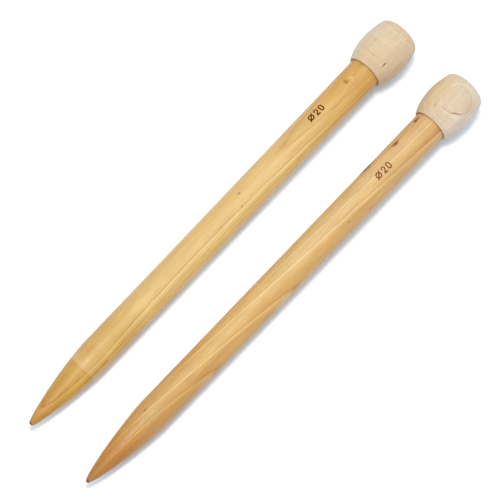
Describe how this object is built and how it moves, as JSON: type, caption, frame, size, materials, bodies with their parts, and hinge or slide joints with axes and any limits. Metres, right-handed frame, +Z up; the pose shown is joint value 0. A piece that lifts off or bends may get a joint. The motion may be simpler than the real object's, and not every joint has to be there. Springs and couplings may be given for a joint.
{
  "type": "single-pointed knitting needles",
  "caption": "Straight wooden knitting needles: a thick varnished shaft tapering to one blunt point, with a bare barrel-shaped knob glued over the other end.",
  "frame": {"origin": "on the table, at the middle of the footprint of the pair as it lies", "axes": "+X from the points to the knobs, +Y from the right needle to the left one, +Z up from the table"},
  "size_m": [0.3332, 0.0816, 0.03],
  "materials": {
    "varnished_wood": "honey-coloured wood under a clear satin varnish",
    "bare_wood": "pale bare wood, turned and fine sanded, matt",
    "wood_glue": "set white wood glue, yellowish and translucent"
  },
  "bodies": {
    "needle_left": {"left_shaft": "varnished_wood", "left_knob": "bare_wood", "left_knob_glue": "wood_glue"},
    "needle_right": {"right_shaft": "varnished_wood", "right_knob": "bare_wood", "right_knob_glue": "wood_glue"}
  },
  "joints": [
    {"name": "right_needle_lift", "type": "slide", "parent": "needle_left", "child": "needle_right", "axis": [0, 0, 1], "range_m": [0, 0.15]}
  ]
}
